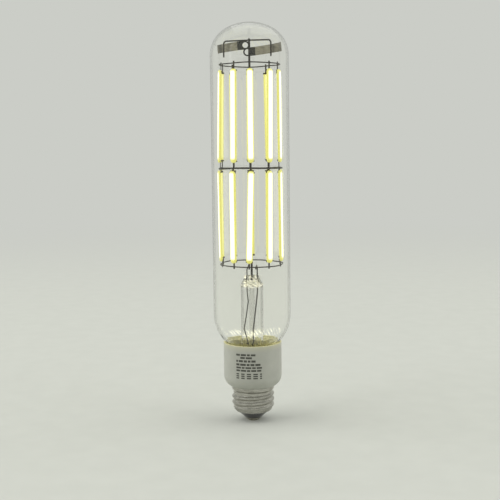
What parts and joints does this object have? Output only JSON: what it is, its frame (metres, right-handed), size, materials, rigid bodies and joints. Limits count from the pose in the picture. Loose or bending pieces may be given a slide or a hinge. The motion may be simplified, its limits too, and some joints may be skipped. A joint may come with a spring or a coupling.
{
  "type": "tubular light bulb",
  "caption": "Long tubular clear-glass filament lamp with two tiers of upright light strips on wire rings, a white plastic collar and a screw cap.",
  "frame": {"origin": "centre of the flat face of the cap's centre contact, on the lamp's axis", "axes": "+Z along the lamp's axis from the cap towards the dome, -Y the side with the printed collar"},
  "size_m": [0.048, 0.048, 0.2464],
  "materials": {
    "clear_glass": "clear blown glass, fire-polished",
    "stem_glass": "clear drawn glass, a little wavy",
    "nickel_wire": "dull nickel-plated steel wire",
    "spring_strip": "rolled nickel-plated spring strip",
    "filament_coat": "yellow phosphor in clear silicone, lit",
    "terminal_plate": "plain nickel-plated steel, stamped",
    "collar_plastic": "fine satin white moulded plastic",
    "neck_cement": "pale cream capping cement",
    "board_laminate": "green lacquered laminate",
    "cap_shell": "nickel-plated rolled sheet",
    "cap_insulator": "black glass, glossy",
    "cap_contact": "tinned brass, lightly brushed",
    "wire_sleeve": "white sleeve over copper wire",
    "capacitor_can": "shrink sleeve",
    "choke_core": "ferrite drum",
    "capacitor_film": "dipped coat",
    "chip_plastic": "moulded epoxy",
    "resistor_body": "lacquered film resistor"
  },
  "bodies": {
    "root": {"bottom_ring": "nickel_wire", "bridge_rectifier": "chip_plastic", "buffer_capacitor": "capacitor_can", "centre_contact": "cap_contact", "centre_post": "nickel_wire", "choke": "choke_core", "collar": "collar_plastic", "contact_wire": "wire_sleeve", "driver_board": "board_laminate", "driver_chip": "chip_plastic", "exhaust_tube": "stem_glass", "filament_lower_01": "filament_coat", "filament_lower_02": "filament_coat", "filament_lower_03": "filament_coat", "filament_lower_04": "filament_coat", "filament_lower_05": "filament_coat", "filament_lower_06": "filament_coat", "filament_lower_07": "filament_coat", "filament_lower_08": "filament_coat", "filament_lower_09": "filament_coat", "filament_lower_10": "filament_coat", "filament_upper_01": "filament_coat", "filament_upper_02": "filament_coat", "filament_upper_03": "filament_coat", "filament_upper_04": "filament_coat", "filament_upper_05": "filament_coat", "filament_upper_06": "filament_coat", "filament_upper_07": "filament_coat", "filament_upper_08": "filament_coat", "filament_upper_09": "filament_coat", "filament_upper_10": "filament_coat", "film_capacitor": "capacitor_film", "fusible_resistor": "resistor_body", "glass_bulb": "clear_glass", "left_arm": "nickel_wire", "lower_leaf_spring": "spring_strip", "middle_ring": "nickel_wire", "neck_cement": "neck_cement", "post_lead": "nickel_wire", "right_arm": "nickel_wire", "ring_arm": "nickel_wire", "ring_lead": "nickel_wire", "screw_shell": "cap_shell", "shell_insulator": "cap_insulator", "shell_wire": "wire_sleeve", "stem_glass": "stem_glass", "terminals_lower_high": "terminal_plate", "terminals_lower_low": "terminal_plate", "terminals_upper_high": "terminal_plate", "terminals_upper_low": "terminal_plate", "top_ring": "nickel_wire", "upper_leaf_spring": "spring_strip"}
  },
  "joints": []
}
